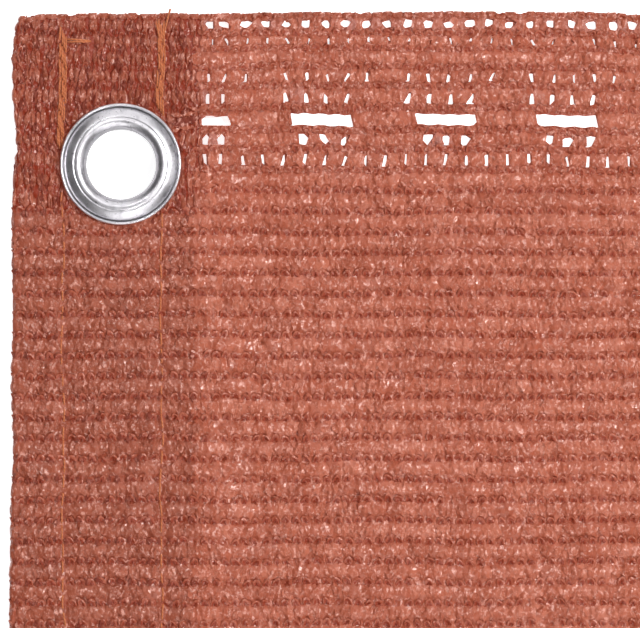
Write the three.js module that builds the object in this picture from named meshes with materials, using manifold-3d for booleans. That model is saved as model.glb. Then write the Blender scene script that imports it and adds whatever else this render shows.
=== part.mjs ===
import * as THREE from 'three';
import { mergeGeometries, mergeVertices } from 'three/addons/utils/BufferGeometryUtils.js';
import Module from 'manifold-3d';

// Top left corner of a balcony privacy screen: knitted tape cloth with an openwork band, a folded
// side hem and a metal eyelet. It lies face up. Millimetres, +Z up, x across the cloth from its
// folded edge, y up the cloth with 0 at its top edge.

// Driving dimensions
const EYELET_HOLE = 12;
const EYELET_OUTSIDE = 20.7;
const EYELET_ACROSS = 18.8;
const EYELET_DOWN = 25.8;
const HEM_WIDTH = 32.1;
const SCREEN_WIDTH = 175;
const ROW_PITCH = 3.52;
const PLAIN_ROWS = 40;
const BAR_PITCH = 3.49;
const BARS_A_REPEAT = 6;

// Cloth thickness
const LAYER = 1.0;
const ROW_RIDGE = 0.32;
const LAYER_GAP = 0.3;
const CLEARANCE = 0.3;

// Eyelet metal: the turned end of the barrel and the dished washer under the cloth, the ring over it
const BARREL_WALL = 0.6;
const TURNED_END = 0.45;
const WASHER_METAL = 0.4;
const WASHER_TOP = TURNED_END + CLEARANCE + WASHER_METAL;
const RING_HEIGHT = 1.5;
const ROUND_STEPS = 40;

const BORE = EYELET_HOLE / 2;
const RIM = EYELET_OUTSIDE / 2;

// The eyelet's back lifts the hem off the surface: full height this far up and down, then falling off
const LIFT = WASHER_TOP + CLEARANCE;
const RING_SEAT = LIFT + 2 * LAYER + LAYER_GAP + CLEARANCE;
const LIFT_LEVEL = 12;
const LIFT_END = 28;
const PANEL_SETTLES = 11;
const PRESSED_LEVEL = 11.5;
const PRESSED_END = 15;

// Knitted rows of the top band, downwards. A gap row leaves gaps beside the named bars of a repeat.
const OPEN_ROWS = [
  { row: 'edge holes', height: 2.9, gap: 1.7, tall: 1.45, flare: 0.35, shift: 0.0, bars: [0, 1, 2, 3, 4, 5] },
  { row: 'pin slits', height: 2.6, gap: 0, tall: 0, flare: 0, shift: 0.0, bars: [] },
  { row: 'closed', height: 3.1, gap: 0, tall: 0, flare: 0, shift: 0.0, bars: [] },
  { row: 'upper slits', height: 3.2, gap: 0.85, tall: 1.9, flare: 0.1, shift: 0.2, bars: [0, 1, 2, 4, 5] },
  { row: 'slot roof', height: 3.8, gap: 1.0, tall: 2.0, flare: 0.1, shift: 0.0, bars: [0, 1, 4, 5] },
  { row: 'slots', height: 3.9, gap: 10.6, tall: 2.25, flare: 0.2, shift: -0.6, bars: [0] },
  { row: 'slot sill', height: 3.1, gap: 1.5, tall: 1.75, flare: 0.45, shift: -0.6, bars: [0, 1, 5] },
  { row: 'lower slits', height: 3.6, gap: 0.8, tall: 2.05, flare: 0.1, shift: -0.6, bars: [0, 1, 2, 3, 4, 5] },
];
const EDGE_BORDER = 0.5;
const FIRST_BAR = HEM_WIDTH + 0.8;
const SIDE_MARGIN = 1.2;

// How far the folded edge stands in from its straight line, going down the cloth
const FOLDED_EDGE = [
  { down: 0, inset: 1.4 },
  { down: 3, inset: 0.5 },
  { down: 8, inset: 0.0 },
  { down: 15, inset: 0.1 },
  { down: 23, inset: 0.7 },
  { down: 34, inset: 0.6 },
  { down: 71, inset: 0.1 },
  { down: 105, inset: -0.25 },
  { down: 168, inset: 0.3 },
];
const SCALLOP = 0.22;

// How far the top edge stands above its straight line, going across the cloth
const TOP_EDGE = [
  { across: 0, rise: -0.5 },
  { across: 9, rise: 0.0 },
  { across: 32, rise: 0.0 },
  { across: 50, rise: 0.35 },
  { across: 68, rise: 0.45 },
  { across: 100, rise: 0.4 },
  { across: 112, rise: -0.2 },
  { across: 140, rise: 0.25 },
  { across: 175, rise: 0.0 },
];
const TOP_EDGE_FADES = 40;

// Slow waves of the cloth's face: height, and length across and down the cloth
const FACE_WAVES = [
  { height: 0.07, across: 9.3, down: 21 },
  { height: 0.07, across: 23, down: -12.7 },
];

// The cut right side wanders a little; the panel's face is worked out at these distances across
const CUT_WANDER = 0.2;
const CUT_WAVE = 6.1;
const PANEL_COLUMNS = [138, 108, 78, 56];

const { clamp, smoothstep } = THREE.MathUtils;

// Value of one column of a table, eased between its rows
function along(table, place, value, at) {
  const last = table.length - 1;
  const after = clamp(table.findIndex((entry) => entry[place] > at), 1, last);
  const low = table[after - 1];
  const high = table[at >= table[last][place] ? last : after];
  return low[value] + (high[value] - low[value]) * smoothstep(at, low[place], high[place]);
}

// Depth of each chain line below the top edge
function chainDepths() {
  const heights = [...OPEN_ROWS.map((row) => row.height), ...Array(PLAIN_ROWS).fill(ROW_PITCH)];
  const depths = [EDGE_BORDER];
  for (const height of heights) depths.push(depths.at(-1) + height);
  return depths;
}

const CHAINS = chainDepths();
const CLOTH_LENGTH = CHAINS.at(-1) + EDGE_BORDER;

// The lines across the cloth where its thickness changes: chain lines low, the puffs between high
function stations() {
  const list = [{ depth: 0, ridge: 0 }];
  CHAINS.forEach((depth, row) => {
    list.push({ depth, ridge: 0 });
    if (row + 1 < CHAINS.length) list.push({ depth: (depth + CHAINS[row + 1]) / 2, ridge: ROW_RIDGE });
  });
  list.push({ depth: CLOTH_LENGTH, ridge: 0 });
  return list;
}

function lineY(depth, x) {
  return along(TOP_EDGE, 'across', 'rise', x) * (1 - smoothstep(depth, 0, TOP_EDGE_FADES)) - depth;
}

// Height of the cloth's underside over the surface, because of the eyelet's back
function lift(depth) {
  return LIFT * (1 - smoothstep(Math.abs(depth - EYELET_DOWN), LIFT_LEVEL, LIFT_END));
}

// 1 well away from the eyelet, 0 where its ring presses the cloth flat
function loose(x, depth) {
  return smoothstep(Math.hypot(x - EYELET_ACROSS, depth - EYELET_DOWN), PRESSED_LEVEL, PRESSED_END);
}

function waver(x, depth) {
  return FACE_WAVES.reduce((sum, wave) => sum + wave.height * Math.sin(x / wave.across + depth / wave.down), 0);
}

function faceHeight(x, depth, ridge) {
  return LAYER + loose(x, depth) * (ridge + ROW_RIDGE / 2 + waver(x, depth));
}

// A closed body through loops of as many [x, y, z] points each, from the top of the cloth down
function loft(sections) {
  const around = sections[0].length;
  const index = [];
  for (let s = 0; s + 1 < sections.length; s += 1) {
    for (let p = 0; p < around; p += 1) {
      const a = s * around + p;
      const b = s * around + ((p + 1) % around);
      index.push(a + around, a, b, a + around, b, b + around);
    }
  }
  const start = (sections.length - 1) * around;
  for (const [a, b, c] of capOf(sections[0])) index.push(a, c, b);
  for (const [a, b, c] of capOf(sections.at(-1))) index.push(start + a, start + b, start + c);
  const geometry = new THREE.BufferGeometry();
  geometry.setAttribute('position', new THREE.Float32BufferAttribute(sections.flat(2), 3));
  geometry.setIndex(index);
  return geometry;
}

function capOf(section) {
  return THREE.ShapeUtils.triangulateShape(section.map(([x, , z]) => new THREE.Vector2(x, z)), []);
}

const wasm = await Module();
wasm.setup();

function solidOf(geometry) {
  const bare = geometry.clone();
  bare.deleteAttribute('normal');
  bare.deleteAttribute('uv');
  const merged = mergeVertices(bare);
  const vertProperties = Float32Array.from(merged.attributes.position.array);
  const triVerts = Uint32Array.from(merged.index.array);
  return new wasm.Manifold(new wasm.Mesh({ numProp: 3, vertProperties, triVerts }));
}

function geometryOf(solid) {
  const { vertProperties, triVerts } = solid.getMesh();
  const geometry = new THREE.BufferGeometry();
  geometry.setAttribute('position', new THREE.BufferAttribute(vertProperties, 3));
  geometry.setIndex(new THREE.BufferAttribute(triVerts, 1));
  geometry.computeVertexNormals();
  return geometry;
}

// A straight cutter through the cloth, over an outline of [x, y] points
const CUT_LOW = -1;
const CUT_HIGH = 9;
function cutter(outline) {
  const shape = new THREE.Shape(outline.map(([x, y]) => new THREE.Vector2(x, y)));
  const geometry = new THREE.ExtrudeGeometry(shape, { depth: CUT_HIGH - CUT_LOW, bevelEnabled: false });
  return geometry.translate(0, 0, CUT_LOW);
}

// Every gap of the openwork band that lies in the panel, wider at its top by the flare
function bandGaps() {
  const gaps = [];
  OPEN_ROWS.forEach((row, r) => {
    const depth = (CHAINS[r] + CHAINS[r + 1]) / 2;
    const half = row.gap / 2;
    for (let bar = 0; FIRST_BAR + bar * BAR_PITCH < SCREEN_WIDTH; bar += 1) {
      if (!row.bars.includes(bar % BARS_A_REPEAT)) continue;
      const middle = FIRST_BAR + bar * BAR_PITCH + row.shift;
      const left = Math.max(middle - half, HEM_WIDTH + CLEARANCE + SIDE_MARGIN);
      const right = Math.min(middle + half, SCREEN_WIDTH - SIDE_MARGIN);
      if (right - left < row.gap / 3) continue;
      const top = lineY(depth - row.tall / 2, middle);
      const foot = lineY(depth + row.tall / 2, middle);
      gaps.push(cutter([[left, top], [left + row.flare, foot], [right - row.flare, foot], [right, top]]));
    }
  });
  return gaps;
}

// Panel: the cloth beside the hem, whose margin comes down from the hem's upper layer to the surface
function panelBase(x, depth) {
  const settled = smoothstep(x, HEM_WIDTH, HEM_WIDTH + PANEL_SETTLES);
  return (lift(depth) + LAYER + LAYER_GAP) * (1 - settled);
}

function cutEdge(depth) {
  return SCREEN_WIDTH + CUT_WANDER * (Math.sin(depth / CUT_WAVE) - 1);
}

function screenCloth() {
  const left = HEM_WIDTH + CLEARANCE;
  const under = [0, 0.3, 0.6, 1].map((share) => left + share * (PANEL_SETTLES - CLEARANCE));
  const over = [...PANEL_COLUMNS, ...under.toReversed()];
  const sections = stations().map(({ depth, ridge }) => {
    const right = cutEdge(depth);
    const lower = [...under, right].map((x) => [x, lineY(depth, x), panelBase(x, depth)]);
    const upper = [right, ...over].map((x) => {
      return [x, lineY(depth, x), panelBase(x, depth) + faceHeight(x, depth, ridge)];
    });
    return [...lower, ...upper];
  });
  const gaps = solidOf(mergeGeometries(bandGaps()));
  return geometryOf(solidOf(loft(sections)).subtract(gaps));
}

// Side hem: one section of two layers, closed at the fold, puffed between its two lines of sewing
const HEM_FACE = [
  { across: 4.6, puff: 0.12 },
  { across: 8.8, puff: -0.22 },
  { across: 12.6, puff: 0.1 },
  { across: 21.8, puff: 0.1 },
  { across: 25.6, puff: -0.22 },
  { across: 29, puff: 0.08 },
];
const FOLD_ANGLES = [-90, -125, -160, -200, -235, -270];

function sideHem() {
  const radius = LAYER + LAYER_GAP / 2;
  const sections = stations().map(({ depth, ridge }) => {
    const base = lift(depth);
    const inset = along(FOLDED_EDGE, 'down', 'inset', depth) + SCALLOP * (1 - ridge / ROW_RIDGE);
    const centre = inset + radius;
    const middle = base + radius;
    const point = (x, z) => [x, lineY(depth, x), z];
    const fold = (angle, reach) => {
      const turn = THREE.MathUtils.degToRad(angle);
      return point(centre + reach * Math.cos(turn), middle + reach * Math.sin(turn));
    };
    const face = (x, puff) => {
      const height = faceHeight(x, depth, ridge) + loose(x, depth) * puff;
      return point(x, base + LAYER + LAYER_GAP + height);
    };
    return [
      point(HEM_WIDTH, base),
      ...FOLD_ANGLES.map((angle) => fold(angle, radius)),
      ...HEM_FACE.map(({ across, puff }) => face(across, puff)),
      face(HEM_WIDTH, 0),
      point(HEM_WIDTH, base + LAYER + LAYER_GAP),
      fold(-270, LAYER_GAP / 2),
      fold(-180, LAYER_GAP / 2),
      fold(-90, LAYER_GAP / 2),
      point(HEM_WIDTH, base + LAYER),
    ].reverse();
  });
  const holeRadius = BORE + BARREL_WALL + CLEARANCE;
  const hole = new THREE.CylinderGeometry(holeRadius, holeRadius, CUT_HIGH - CUT_LOW, ROUND_STEPS);
  hole.rotateX(Math.PI / 2);
  hole.translate(EYELET_ACROSS, -EYELET_DOWN, (CUT_HIGH + CUT_LOW) / 2);
  return geometryOf(solidOf(loft(sections)).subtract(solidOf(hole)));
}

// A ring turned about the eyelet's axis, from [radius, height] points going round its section
function turned(profile) {
  const points = [...profile, profile[0]].map(([r, z]) => new THREE.Vector2(r, z));
  const geometry = new THREE.LatheGeometry(points, ROUND_STEPS);
  geometry.rotateX(Math.PI / 2);
  geometry.translate(EYELET_ACROSS, -EYELET_DOWN, 0);
  return geometry;
}

// Shown side: thin lip, groove, wide rounded ring with a narrow flat crown, barrel and turned end
function eyeletFront() {
  const z = (height) => RING_SEAT + height;
  return turned([
    [BORE, TURNED_END],
    [BORE + 0.2, 0.1],
    [BORE + 0.5, 0],
    [BORE + 1.8, 0],
    [BORE + 2.0, TURNED_END],
    [BORE + BARREL_WALL, TURNED_END],
    [BORE + BARREL_WALL, z(0)],
    [RIM - 0.2, z(0)],
    [RIM, z(0.25)],
    [RIM - 0.2, z(0.6)],
    [RIM - 0.5, z(0.62)],
    [RIM - 0.8, z(0.35)],
    [RIM - 1.1, z(0.5)],
    [RIM - 1.6, z(1.1)],
    [RIM - 2.3, z(RING_HEIGHT)],
    [RIM - 3.1, z(RING_HEIGHT)],
    [RIM - 3.8, z(1.2)],
    [BORE, z(0.4)],
  ]);
}

// Hidden side: washer dished over the barrel's turned end
function eyeletBack() {
  const inside = BORE + BARREL_WALL + CLEARANCE;
  const under = TURNED_END + CLEARANCE;
  return turned([
    [inside, under],
    [BORE + 2.5, under],
    [BORE + 2.9, 0],
    [RIM - 0.3, 0],
    [RIM, 0.25],
    [RIM - 0.5, 0.7],
    [BORE + 2.9, WASHER_TOP],
    [inside, WASHER_TOP],
  ]);
}

function cloth(color) {
  return new THREE.MeshStandardMaterial({ color, roughness: 0.45, metalness: 0 });
}

function metal() {
  return new THREE.MeshStandardMaterial({ color: 0xb9b8b6, roughness: 0.28, metalness: 1 });
}

const screen = new THREE.Group();
for (const [name, geometry, material] of [
  ['screen_cloth', screenCloth(), cloth(0xb46754)],
  ['side_hem', sideHem(), cloth(0xa25b49)],
  ['eyelet_front', eyeletFront(), metal()],
  ['eyelet_back', eyeletBack(), metal()],
]) {
  const piece = new THREE.Mesh(geometry, material);
  piece.name = name;
  screen.add(piece);
}

// The origin is at the middle of the cloth's underside
const box = new THREE.Box3().setFromObject(screen);
const middle = box.getCenter(new THREE.Vector3());
screen.position.set(-middle.x, -middle.y, -box.min.z);

export default screen;
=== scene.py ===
"""Corner of a balcony privacy screen: knitted tape cloth, folded and stitched side hem, metal eyelet."""

import math
from typing import NamedTuple

import bpy
import numpy as np
from bpy.props import FloatProperty, FloatVectorProperty, IntProperty, PointerProperty
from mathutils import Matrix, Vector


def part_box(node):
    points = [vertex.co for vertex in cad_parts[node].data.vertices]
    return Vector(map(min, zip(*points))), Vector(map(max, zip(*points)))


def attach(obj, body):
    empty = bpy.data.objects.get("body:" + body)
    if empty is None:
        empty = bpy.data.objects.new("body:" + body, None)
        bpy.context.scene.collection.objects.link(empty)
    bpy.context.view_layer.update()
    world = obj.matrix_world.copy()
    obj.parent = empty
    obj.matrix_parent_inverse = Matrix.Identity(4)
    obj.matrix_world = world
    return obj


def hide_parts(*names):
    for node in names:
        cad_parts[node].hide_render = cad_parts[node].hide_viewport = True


bl_info = {
    "name": "Balcony Privacy Screen Corner",
    "version": (1, 0, 0),
    "blender": (4, 5, 0),
    "location": "View3D > Sidebar > Screen",
    "description": "Knits, hems and eyelets the corner of a balcony privacy screen",
    "category": "Add Mesh",
}

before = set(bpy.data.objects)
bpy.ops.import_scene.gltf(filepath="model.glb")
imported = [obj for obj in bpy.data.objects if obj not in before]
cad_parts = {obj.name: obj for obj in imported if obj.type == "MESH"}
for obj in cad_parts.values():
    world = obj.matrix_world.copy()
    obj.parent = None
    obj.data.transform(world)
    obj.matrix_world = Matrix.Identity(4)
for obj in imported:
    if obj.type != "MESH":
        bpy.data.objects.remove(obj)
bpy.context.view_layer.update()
MM = 0.001

# Sizes in millimetres: x across from the folded edge, depth down from the top edge
EYELET_ACROSS = 18.8
EYELET_DOWN = 25.8
EYELET_HOLE = 12.0
EYELET_OUTSIDE = 20.7
BORE = EYELET_HOLE / 2
RIM = EYELET_OUTSIDE / 2
HEM_WIDTH = 32.1
SCREEN_WIDTH = 175.0
ROW_PITCH = 3.52
PLAIN_ROWS = 40
BAR_PITCH = 3.49
NEEDLE = BAR_PITCH / 2
BARS_A_REPEAT = 6
EDGE_BORDER = 0.5
FIRST_BAR = HEM_WIDTH + 0.8
TAPE_END = SCREEN_WIDTH - 0.6

# Thickness, and how the eyelet's back lifts the cloth and its ring presses it
LAYER = 1.0
LAYER_GAP = 0.3
TURNED_END = 0.45
WASHER_TOP = 1.15
LIFT = 1.45
LIFT_LEVEL = 12.0
LIFT_END = 28.0
PANEL_SETTLES = 11.0
PRESSED_LEVEL = 11.5
PRESSED_END = 15.0
RING_SEAT = LIFT + 2 * LAYER + 2 * LAYER_GAP
FOLD_MIDDLE = 0.75
FOLD_BULGE = 0.4
FOLD_THINNED = 0.45


def rows_of(names, *rows):
    """A table whose rows give each value under its column's name"""
    return [dict(zip(names.split(), row)) for row in rows]


# Rows of the openwork band, downwards: height, and each gap's start, end, widths, shift and bars of a repeat
OPEN_ROWS = rows_of(
    "row height start end top foot shift bars",
    ("edge holes", 2.9, 0.95, 0.95, 1.7, 1.4, 0.0, (0, 1, 2, 3, 4, 5)),
    ("pin slits", 2.6, 0.8, 0.7, 0.35, 0.3, 0.4, (0, 1, 2, 3, 4, 5)),
    ("closed", 3.1, 0.0, 0.0, 0.0, 0.0, 0.0, ()),
    ("upper slits", 3.2, 1.15, 0.65, 0.52, 0.4, 0.2, (0, 1, 2, 4, 5)),
    ("slot roof", 3.8, 1.45, 0.7, 0.55, 0.9, 0.0, (0, 1, 4, 5)),
    ("slots", 3.9, 1.2, 0.85, 10.2, 10.2, -0.75, (0,)),
    ("slot sill", 3.1, 0.85, 0.6, 1.7, 0.9, -0.6, (0, 1, 5)),
    ("lower slits", 3.6, 1.05, 0.75, 0.52, 0.45, -0.6, (0, 1, 2, 3, 4, 5)),
)
BAND_ROWS = len(OPEN_ROWS)
ROWS = BAND_ROWS + PLAIN_ROWS
HEM_TOP_ROWS = 10

# How far the folded edge stands in, going down, and how much its chain lines draw it in
FOLDED_EDGE = rows_of(
    "at inset",
    (0, 0.9), (3, 0.3), (8, -0.15), (15, 0.1), (23, 0.7), (28, 0.05), (35, -0.2), (50, -0.1), (63, -0.4),
    (75, 0.0), (84, -0.5), (105, -0.7), (168, 0.0),
)
SCALLOP = 0.1
# Rise of the top edge, and of the openwork band below it, along the cloth
TOP_EDGE = rows_of(
    "at rise band",
    (0, -0.4, 0.0), (9, 0.0, 0.0), (32, 0.0, -0.05), (50, 0.3, 0.1), (68, 0.4, 0.2), (82, 0.4, 0.05),
    (97, 0.35, -0.2), (112, -0.2, -0.4), (140, 0.25, 0.0), (175, 0.0, 0.0),
)
TOP_NOTCHES = rows_of(
    "at depth reach",
    (3.5, 0.5, 0.8), (10.1, 0.35, 0.7), (59.7, 0.5, 0.7), (65.5, 0.3, 0.5), (83.3, 0.35, 0.5),
    (86.9, 0.5, 0.8),
)
# Depths over which the edge's own rise ends, the band's rise fades and the stitches begin to drift
EDGE_ENDS = (0.5, 3.2)
BAND_FADES = (12.0, 40.0)
DRIFT_BEGINS = (0.5, 6.0)

# The two lines of sewing, with the length of their doubled starts, and how far down they draw the cloth in
SEAMS = rows_of("line top doubled", (8.8, 3.2, 21.0), (25.6, 2.0, 17.5))
SEWING_SINK = 0.3
SEWING_REACH = 1.1

# The ring's middle in the frame gives the place of every local size
RING_BOX = np.array([list(corner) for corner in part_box("eyelet_front")]) / MM
RING_MIDDLE = RING_BOX.mean(axis=0)[:2]
SHIFT = RING_MIDDLE - (EYELET_ACROSS, -EYELET_DOWN)

HEIGHTS = [row["height"] for row in OPEN_ROWS] + [ROW_PITCH] * PLAIN_ROWS
CHAINS = EDGE_BORDER + np.concatenate([[0.0], np.cumsum(HEIGHTS)])
CLOTH_LENGTH = float(CHAINS[-1]) + EDGE_BORDER
# The cloth's cut width: the shown width, round the fold, and the turned-in margin
HIDDEN_END = -(HEM_WIDTH - 2 * (LAYER + LAYER_GAP / 2)) - math.pi * FOLD_MIDDLE + 1.0
CUT_WIDTH = SCREEN_WIDTH - HIDDEN_END


def smoothstep(value, low, high):
    share = np.clip((value - low) / (high - low), 0.0, 1.0)
    return share * share * (3 - 2 * share)


def along(table, column, at):
    """One column of a table, eased between its rows"""
    places = np.array([row["at"] for row in table], float)
    values = np.array([row[column] for row in table], float)
    at = np.clip(at, places[0], places[-1])
    after = np.clip(np.searchsorted(places, at, side="right"), 1, len(places) - 1)
    share = smoothstep(at, places[after - 1], places[after])
    return values[after - 1] + (values[after] - values[after - 1]) * share


# From the flat cloth to its place in the frame

def lift(depth):
    return LIFT * (1 - smoothstep(np.abs(depth - EYELET_DOWN), LIFT_LEVEL, LIFT_END))


def loose(x, depth):
    """0 under the ring, 1 where the cloth is free of it"""
    return smoothstep(np.hypot(x - EYELET_ACROSS, depth - EYELET_DOWN), PRESSED_LEVEL, PRESSED_END)


def row_phase(depth):
    """0 on a chain line, 1 midway to the next"""
    after = np.clip(np.searchsorted(CHAINS, depth, side="right"), 1, len(CHAINS) - 1)
    share = np.clip((depth - CHAINS[after - 1]) / (CHAINS[after] - CHAINS[after - 1]), 0, 1)
    return np.sin(math.pi * share)


def wander(x, depth):
    """Small drift of the stitches across and down the cloth"""
    across = 0.16 * np.sin(depth / 5.3 + x / 19) + 0.1 * np.sin(depth / 2.1 + x / 6.1)
    down = 0.12 * np.sin(x / 6.7 + depth / 17) + 0.09 * np.sin(x / 2.9 - depth / 5.9)
    return across, down


def edge_rise(x, depth):
    """How far the uneven top edge and the band below it lift a place up the cloth"""
    place = np.clip(x, 0, SCREEN_WIDTH)
    band = along(TOP_EDGE, "band", place) * (1 - smoothstep(depth, *BAND_FADES))
    rise = along(TOP_EDGE, "rise", place)
    return rise + (band - rise) * smoothstep(depth, *EDGE_ENDS)


def laid(flat):
    """Points of the flat cloth (u, -depth, height) in millimetres, folded and laid in the frame in metres"""
    u, depth, height = flat[:, 0], -flat[:, 1], flat[:, 2]
    across, down = wander(u, depth)
    inset = along(FOLDED_EDGE, "inset", depth) + SCALLOP * (1 - row_phase(depth))
    centre = inset + LAYER + LAYER_GAP / 2
    past = centre - u
    turn = np.clip(past / FOLD_MIDDLE, 0.0, math.pi)
    behind = np.maximum(past - math.pi * FOLD_MIDDLE, 0.0)
    front_share = 1 - turn / math.pi
    shown = u + across * smoothstep(u, 3, 9)
    pressed = 0.8 + 0.2 * loose(u, depth)
    sewn = sum(np.exp(-((u - seam["line"]) / SEWING_REACH) ** 2) for seam in SEAMS)
    height = height * np.where(u < HEM_WIDTH, pressed, 1.0)
    height = height - SEWING_SINK * sewn * loose(u, depth) * (height > 0.3)
    height = height * (1 - FOLD_THINNED * np.sin(turn))
    reach = LAYER_GAP / 2 + height + FOLD_BULGE * np.sin(turn)
    x = np.where(past > 0, centre - reach * np.sin(turn) + behind, shown)
    middle = lift(depth) + LAYER + LAYER_GAP / 2
    settled = smoothstep(x, HEM_WIDTH, HEM_WIDTH + PANEL_SETTLES)
    panel = (lift(depth) + LAYER + LAYER_GAP) * (1 - settled) + height
    z = np.where(u < HEM_WIDTH, middle + reach * np.cos(turn), panel)
    y = edge_rise(x, depth) - depth + down * smoothstep(depth, *DRIFT_BEGINS) * front_share
    return np.column_stack([x + SHIFT[0], y + SHIFT[1], z]) * MM


# Colours and settings

def linear(red, green, blue):
    """A colour of 0 to 255 parts as Blender's linear one"""
    parts = np.array([red, green, blue]) / 255
    return (*np.where(parts <= 0.04045, parts / 12.92, ((parts + 0.055) / 1.055) ** 2.4).tolist(), 1.0)


def shaded(colour, share):
    return (*[part * share for part in colour[:3]], 1.0)


def length_setting(name, description, default):
    return FloatProperty(name=name, description=description, default=default, unit="LENGTH")


def colour_setting(name, description, default):
    return FloatVectorProperty(name=name, description=description, default=default, subtype="COLOR", size=4)


class ScreenKnit(bpy.types.PropertyGroup):
    """Sizes and colours of the knitted cloth"""
    tape_width: length_setting("Tape Width", "Width of the flat tape", 3.7 * MM)
    tape_puff: length_setting("Tape Puff", "Rise of the tape between chains", 0.4 * MM)
    crumple: length_setting("Crumple", "Height of the tape's creases", 0.16 * MM)
    loop_width: length_setting("Loop Width", "Width of a chain loop's tape", 0.4 * MM)
    seed: IntProperty(name="Seed", description="Start of the random creases", default=7)
    # Painted glow: a faint red emission on every tape that stands in for light coming through the thin tape
    glow: FloatProperty(name="Glow", description="Light that comes through the thin tape", default=0.05)
    # The colour of the painted shade: recesses, slits, the pocket's shadow and dipped places
    dark: colour_setting("Dark", "Deep colour", (0.22, 0.022, 0.007, 1))
    body: colour_setting("Body", "Main colour", (0.404, 0.104, 0.057, 1))
    light: colour_setting("Light", "Worn colour", (0.49, 0.15, 0.09, 1))


class ScreenSewing(bpy.types.PropertyGroup):
    """Sizes and colour of the sewing"""
    thread: length_setting("Thread", "Thickness of the thread", 0.36 * MM)
    stitch: length_setting("Stitch", "Length of a stitch", 2.9 * MM)
    colour: colour_setting("Colour", "Thread colour", linear(190, 98, 50))


class ScreenEyelet(bpy.types.PropertyGroup):
    """Finish of the eyelet"""
    steps: IntProperty(name="Steps", description="Faces round the eyelet", default=128)
    colour: colour_setting("Colour", "Metal colour", linear(232, 229, 234))


# Materials

WHITE = (1, 1, 1, 1)
# Pale patches: partly whitish film on the tape, partly painted sheen
PALE_FILM_AND_SHEEN = (0.56, 0.22, 0.16, 1)
# Colour of the painted glints
PAINTED_GLINT = (0.7, 0.33, 0.26, 1)
# Grey-pink of the thin half clear tapes: partly their own paler colour, partly painted light of the floor
# seen through them
SHEER_TAPE = (0.44, 0.2, 0.17, 1)
TAPE_SHINE = (1, 0.86, 0.82, 1)
TAPE_GLOW = (1, 0.13, 0.06, 1)
THREAD_SHADE = linear(176, 88, 46)
THREAD_LIGHT = linear(222, 140, 82)
METAL_MARK = linear(170, 167, 173)
METAL_PIT = linear(70, 67, 72)
BORE_SHADE = linear(110, 108, 112)
# Painted shade on the metal, thin dark rings in its grooves: how much of its colour stays, at each radius
PAINTED_SHADE_RINGS = rows_of(
    "radius stays",
    (7.75, 1.0), (7.93, 0.7), (8.12, 1.0), (9.5, 1.0), (9.62, 0.15), (9.78, 0.15), (9.86, 1.0),
)
RINGS_REACH = 5


def add_node(tree, kind, **settings):
    node = tree.nodes.new(kind)
    for name, value in settings.items():
        setattr(node, name, value)
    return node


def connect(tree, node, inputs):
    """Links each named or numbered input to a socket, or sets it to a plain value"""
    for name, value in inputs.items():
        if isinstance(value, bpy.types.NodeSocket):
            tree.links.new(value, node.inputs[name])
        else:
            node.inputs[name].default_value = value


def wired(tree, kind, inputs, output=0, **settings):
    """The output of a new node with its inputs connected"""
    node = add_node(tree, kind, **settings)
    connect(tree, node, inputs)
    return node.outputs[output]


def new_material(name):
    material = bpy.data.materials.new(name)
    material.use_nodes = True
    shader = next(node for node in material.node_tree.nodes if node.type == "BSDF_PRINCIPLED")
    return material, material.node_tree, shader


def mix_colour(tree, factor, first, second, blend="MIX"):
    inputs = {0: factor, 6: first, 7: second}
    return wired(tree, "ShaderNodeMix", inputs, 2, data_type="RGBA", blend_type=blend)


def own_place(tree):
    """The piece's own metres"""
    return add_node(tree, "ShaderNodeTexCoord").outputs["Object"]


def stretched_place(tree, scale):
    return wired(tree, "ShaderNodeMapping", {"Vector": own_place(tree), "Scale": scale}, "Vector")


def stretched_noise(tree, scale, detail):
    """Noise in the piece's own metres, drawn out along the given directions"""
    inputs = {"Vector": stretched_place(tree, scale), "Scale": 1.0, "Detail": detail}
    return wired(tree, "ShaderNodeTexNoise", inputs, "Fac")


def spread(tree, value, low, high, to_low=0.0, to_high=1.0):
    """A value that runs from low to high, spread over another span"""
    inputs = {"Value": value, "From Min": low, "From Max": high, "To Min": to_low, "To Max": to_high}
    return wired(tree, "ShaderNodeMapRange", inputs, "Result")


def attribute(tree, name):
    return add_node(tree, "ShaderNodeAttribute", attribute_name=name).outputs["Fac"]


def bumped(tree, height, strength, distance):
    inputs = {"Height": height, "Strength": strength, "Distance": distance}
    return wired(tree, "ShaderNodeBump", inputs, "Normal")


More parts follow.
